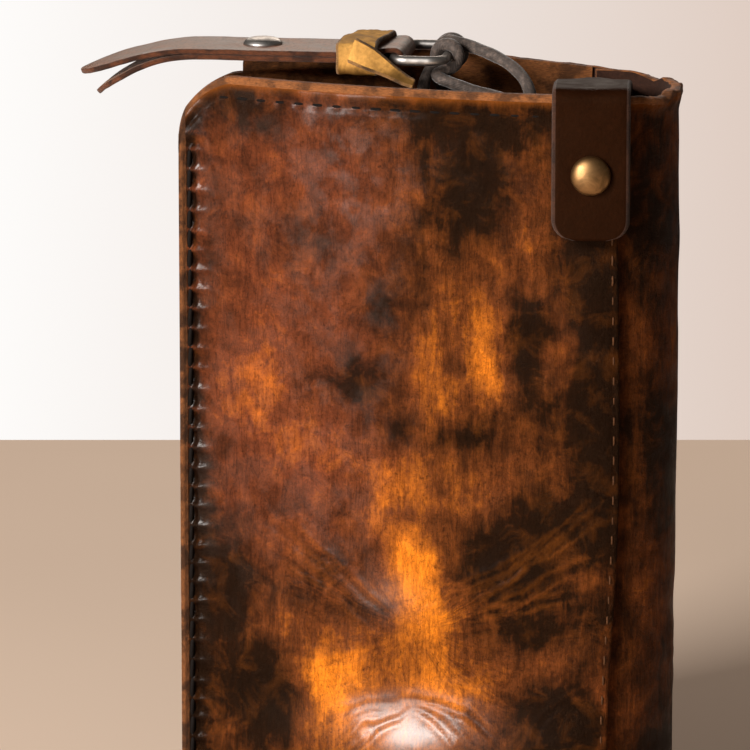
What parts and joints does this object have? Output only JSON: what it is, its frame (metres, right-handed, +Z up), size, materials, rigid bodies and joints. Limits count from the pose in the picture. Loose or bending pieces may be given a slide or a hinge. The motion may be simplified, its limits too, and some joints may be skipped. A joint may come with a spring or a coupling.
{
  "type": "leather ever ready case",
  "caption": "Tall open-mouthed leather ever-ready camera case, laced along one edge and round at the other, with a snap tab, strap end and base screw.",
  "frame": {"origin": "centre of the tripod socket's mouth, in the plane of the base", "axes": "+Z up out of the case's mouth, -Y towards the front wall with the snap, +X towards the half-round end"},
  "size_m": [0.1491, 0.0568, 0.1927],
  "materials": {
    "front_leather": "marbled pull-up leather, waxed, semi-gloss",
    "back_leather": "marbled pull-up leather, waxed",
    "side_leather": "dark waxed leather",
    "edge_leather": "raw cut leather edge",
    "interlining": "pressed leather board",
    "lining": "suede side out",
    "base_leather": "moulded leather",
    "base_board": "fibre board",
    "felt": "wool felt",
    "tab_leather": "smooth dark leather",
    "strap_leather": "worn strap leather with a shiny face",
    "thong_leather": "natural tan leather",
    "lace": "dark round lace",
    "thread": "waxed dark thread",
    "light_thread": "waxed brown thread",
    "brass": "aged satin brass",
    "plated": "worn nickel plate",
    "steel": "zinc-plated steel"
  },
  "bodies": {
    "case": {"front_panel": "front_leather", "back_panel": "back_leather", "side_panel": "side_leather", "front_rim_facing": "edge_leather", "back_rim_facing": "edge_leather", "front_interlining": "interlining", "back_interlining": "interlining", "front_lining": "lining", "back_lining": "lining", "base_pan": "base_leather", "base_board": "base_board", "base_felt": "felt", "socket_plate": "steel", "plate_nails": "steel", "tab_strap": "tab_leather", "snap_stud": "brass", "snap_post": "brass", "tab_rivets": "brass", "ring_strap": "strap_leather", "strap_rivet_cap": "plated", "strap_rivet_burr": "plated", "strap_ring": "plated", "tan_thong": "thong_leather", "lace_rear": "lace", "lace_front": "lace", "seam_lacing": "thread", "front_seam_stitches": "light_thread", "back_seam_stitches": "light_thread", "front_rim_stitches": "thread", "back_rim_stitches": "thread", "base_stitches": "thread"},
    "tab": {"tab_flap": "tab_leather", "snap_cap": "brass", "snap_socket": "brass"},
    "screw": {"retaining_screw": "plated", "retaining_ring": "steel"},
    "upper_end": {"strap_upper_end": "strap_leather"},
    "lower_end": {"strap_lower_end": "strap_leather"}
  },
  "joints": [
    {"name": "tab_fold", "type": "hinge", "parent": "case", "child": "tab", "pos_m": [0.02046, -0.02806, 0.18095], "axis": [-0.9962, -0.0872, 0], "range_deg": [0, 150]},
    {"name": "upper_end_flex", "type": "hinge", "parent": "case", "child": "upper_end", "pos_m": [-0.079, 0, 0.1896], "axis": [0, 1, 0], "range_deg": [0, 35], "stiffness_Nm_per_rad": 0.02},
    {"name": "lower_end_flex", "type": "hinge", "parent": "case", "child": "lower_end", "pos_m": [-0.079, 0, 0.187], "axis": [0, -1, 0], "range_deg": [0, 35], "stiffness_Nm_per_rad": 0.02},
    {"name": "screw_turn", "type": "hinge", "parent": "case", "child": "screw", "pos_m": [0, 0, 0], "axis": [0, 0, 1], "continuous": true}
  ]
}
